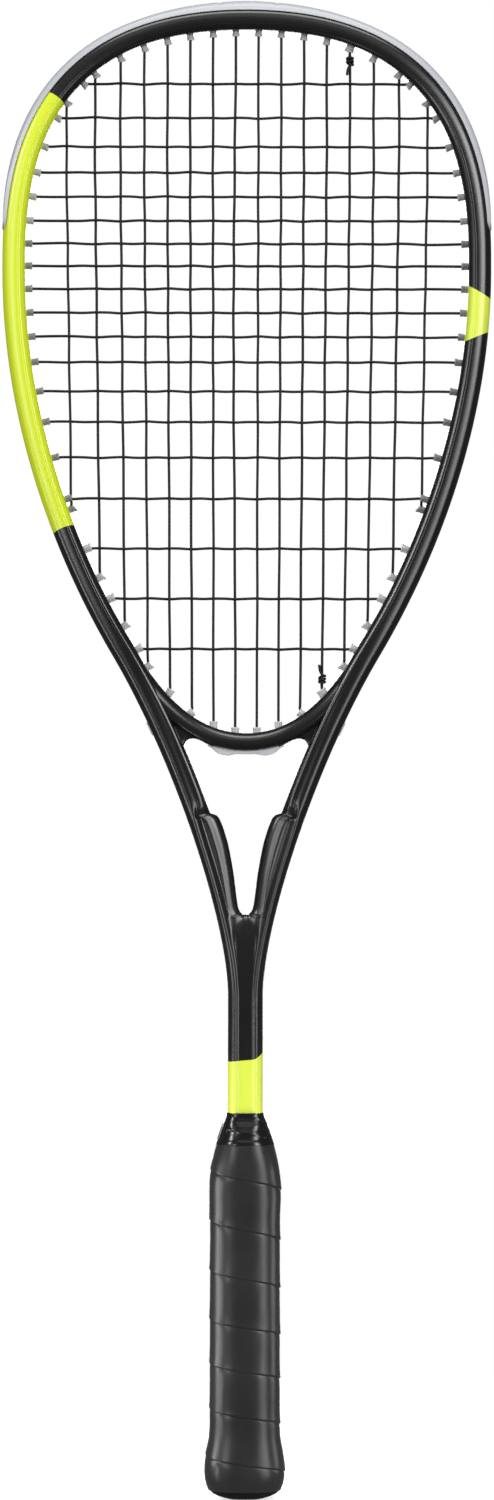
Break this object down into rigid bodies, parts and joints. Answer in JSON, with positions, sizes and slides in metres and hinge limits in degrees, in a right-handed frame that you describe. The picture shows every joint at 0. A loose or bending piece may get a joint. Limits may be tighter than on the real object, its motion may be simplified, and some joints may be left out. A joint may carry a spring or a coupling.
{
  "type": "squash racket",
  "caption": "Squash racket: hollow hairpin frame with throat bridge, woven string bed, head guard and grommet strips, wrapped handle.",
  "frame": {"origin": "centre of the butt cap's flat end, under the handle", "axes": "+Z along the handle and shaft towards the head, +Y square to the strings towards the back, +X across the head to the right seen from the front"},
  "size_m": [0.2234, 0.0314, 0.6851],
  "materials": {
    "frame_lacquer": "black lacquer over carbon fibre with yellow-green bands",
    "guard_nylon": "satin grey moulded nylon",
    "clear_nylon": "translucent natural nylon",
    "string_nylon": "black coated multifilament",
    "pallet_foam": "rigid polyurethane foam",
    "cap_plastic": "black moulded plastic",
    "staple_steel": "bright steel wire",
    "grip_polyurethane": "soft matt polyurethane film, finely pored",
    "tape_film": "black adhesive vinyl tape",
    "collar_rubber": "smooth black rubber"
  },
  "bodies": {
    "root": {"racket_frame": "frame_lacquer", "throat_bridge": "frame_lacquer", "bumper_guard": "guard_nylon", "side_grommet_strip_left": "guard_nylon", "side_grommet_strip_right": "guard_nylon", "lower_grommet_strip_left": "clear_nylon", "lower_grommet_strip_right": "clear_nylon", "bridge_grommet_strip": "clear_nylon", "string": "string_nylon", "pallet_front": "pallet_foam", "pallet_back": "pallet_foam", "shaft_end_plug": "pallet_foam", "butt_cap": "cap_plastic", "cap_staple_left": "staple_steel", "cap_staple_right": "staple_steel", "cap_staple_front": "staple_steel", "cap_staple_back": "staple_steel", "grip_wrap": "grip_polyurethane", "finishing_tape": "tape_film", "grip_collar": "collar_rubber"}
  },
  "joints": []
}
